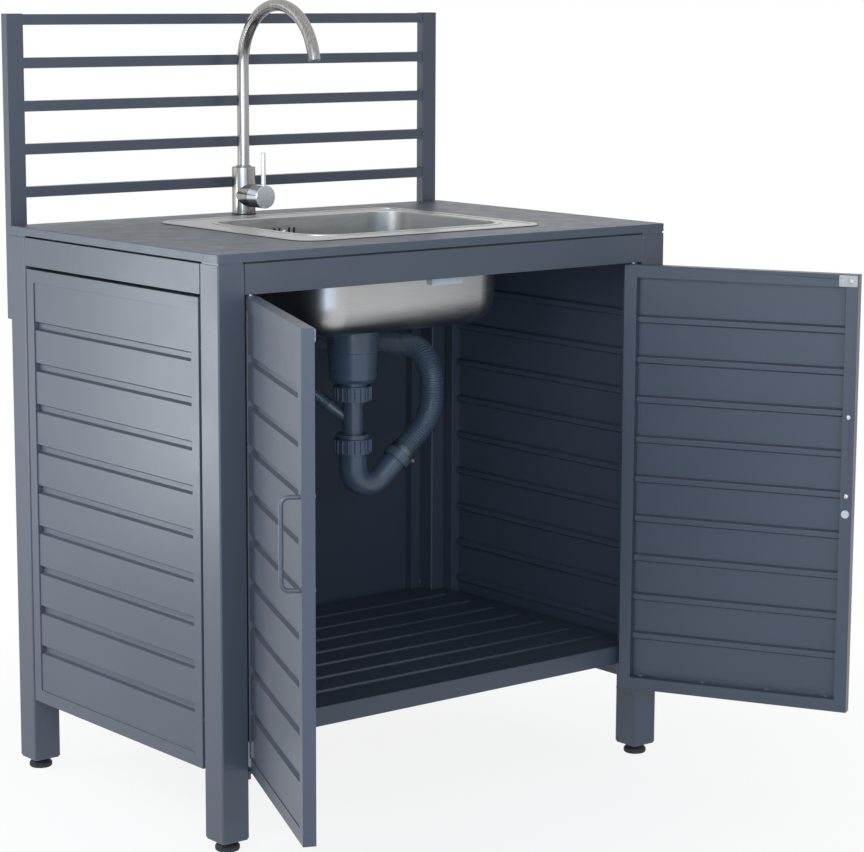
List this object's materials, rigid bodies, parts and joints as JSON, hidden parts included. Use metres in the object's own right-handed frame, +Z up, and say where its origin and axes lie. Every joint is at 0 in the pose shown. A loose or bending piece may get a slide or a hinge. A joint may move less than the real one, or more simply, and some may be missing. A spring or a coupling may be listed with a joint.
{
  "type": "kitchen sink unit",
  "caption": "Free-standing kitchen sink unit: steel cabinet on levelling feet with cassette doors, inset steel bowl with trap and hoses, swivel tap and slatted upstand.",
  "frame": {"origin": "on the floor, under the middle of the box round the whole unit with its doors standing open", "axes": "+X to the right as seen from the front, +Y to the back, +Z up"},
  "size_m": [1.1514, 0.9614, 1.2617],
  "materials": {
    "coated_steel": "satin powder coat",
    "worktop_board": "fine grained matt",
    "stainless": "brushed",
    "fastener_steel": "plated",
    "black_plastic": "moulded",
    "catch_plastic": "moulded",
    "white_plastic": "moulded"
  },
  "bodies": {
    "cabinet": {"back_panel_frame": "coated_steel", "back_panel_sheet": "coated_steel", "floor_rails": "coated_steel", "floor_sheet": "coated_steel", "front_apron": "coated_steel", "front_left_leg": "coated_steel", "front_right_leg": "coated_steel", "hinge_brackets": "fastener_steel", "hinge_pins": "fastener_steel", "left_panel_frame": "coated_steel", "left_panel_sheet": "coated_steel", "leg_end_plugs": "black_plastic", "magnetic_catch": "catch_plastic", "outlet_fitting": "black_plastic", "overflow_hose": "black_plastic", "overflow_housing": "black_plastic", "panel_fixings": "fastener_steel", "rear_apron": "coated_steel", "rear_left_leg": "coated_steel", "rear_right_leg": "coated_steel", "right_panel_frame": "coated_steel", "right_panel_sheet": "coated_steel", "side_aprons": "coated_steel", "sink": "stainless", "sink_clips": "fastener_steel", "slip_nuts": "black_plastic", "tailpiece": "black_plastic", "tap_backnut": "fastener_steel", "tap_body": "stainless", "trap_bend": "black_plastic", "upstand_bars": "coated_steel", "upstand_bolts": "fastener_steel", "upstand_posts": "coated_steel", "waste_body": "black_plastic", "waste_flange": "stainless", "waste_hose": "black_plastic", "worktop": "worktop_board", "worktop_screws": "fastener_steel"},
    "front_left_foot": {"front_left_foot": "black_plastic"},
    "front_right_foot": {"front_right_foot": "black_plastic"},
    "rear_left_foot": {"rear_left_foot": "black_plastic"},
    "rear_right_foot": {"rear_right_foot": "black_plastic"},
    "left_door": {"left_door_frame": "coated_steel", "left_door_sheet": "coated_steel", "left_door_handle": "coated_steel", "left_door_handle_screws": "fastener_steel", "left_door_strike_plate": "fastener_steel", "left_door_hinge_bushes": "black_plastic"},
    "right_door": {"right_door_frame": "coated_steel", "right_door_sheet": "coated_steel", "right_door_handle": "coated_steel", "right_door_handle_screws": "fastener_steel", "right_door_strike_plate": "fastener_steel", "right_door_hinge_bushes": "black_plastic", "right_door_bumper": "white_plastic"},
    "cartridge": {"cartridge_stem": "stainless"},
    "lever": {"tap_lever": "stainless"},
    "spout": {"tap_spout": "stainless", "aerator": "black_plastic"},
    "strainer": {"strainer_basket": "stainless"}
  },
  "joints": [
    {"name": "front_left_foot_height", "type": "slide", "parent": "cabinet", "child": "front_left_foot", "axis": [0, 0, -1], "range_m": [0, 0.012]},
    {"name": "front_right_foot_height", "type": "slide", "parent": "cabinet", "child": "front_right_foot", "axis": [0, 0, -1], "range_m": [0, 0.012]},
    {"name": "rear_left_foot_height", "type": "slide", "parent": "cabinet", "child": "rear_left_foot", "axis": [0, 0, -1], "range_m": [0, 0.012]},
    {"name": "rear_right_foot_height", "type": "slide", "parent": "cabinet", "child": "rear_right_foot", "axis": [0, 0, -1], "range_m": [0, 0.012]},
    {"name": "left_door_hinge", "type": "hinge", "parent": "cabinet", "child": "left_door", "pos_m": [-0.39346, -0.12877, 0.4795], "axis": [0, 0, -1], "range_deg": [-113.5, 6.5]},
    {"name": "right_door_hinge", "type": "hinge", "parent": "cabinet", "child": "right_door", "pos_m": [0.36854, -0.12877, 0.4795], "axis": [0, 0, 1], "range_deg": [-118, 2]},
    {"name": "tap_temperature", "type": "hinge", "parent": "cabinet", "child": "cartridge", "pos_m": [-0.02246, 0.38473, 0.9324], "axis": [0, -1, 0], "range_deg": [-45, 45]},
    {"name": "tap_flow", "type": "hinge", "parent": "cartridge", "child": "lever", "pos_m": [-0.02246, 0.38473, 0.913], "axis": [1, 0, 0], "range_deg": [0, 15]},
    {"name": "spout_swivel", "type": "hinge", "parent": "cabinet", "child": "spout", "pos_m": [-0.02246, 0.42173, 0.98], "axis": [0, 0, 1], "range_deg": [-90, 90]},
    {"name": "strainer_lift", "type": "slide", "parent": "cabinet", "child": "strainer", "axis": [0, 0, 1], "range_m": [0, 0.08]}
  ]
}
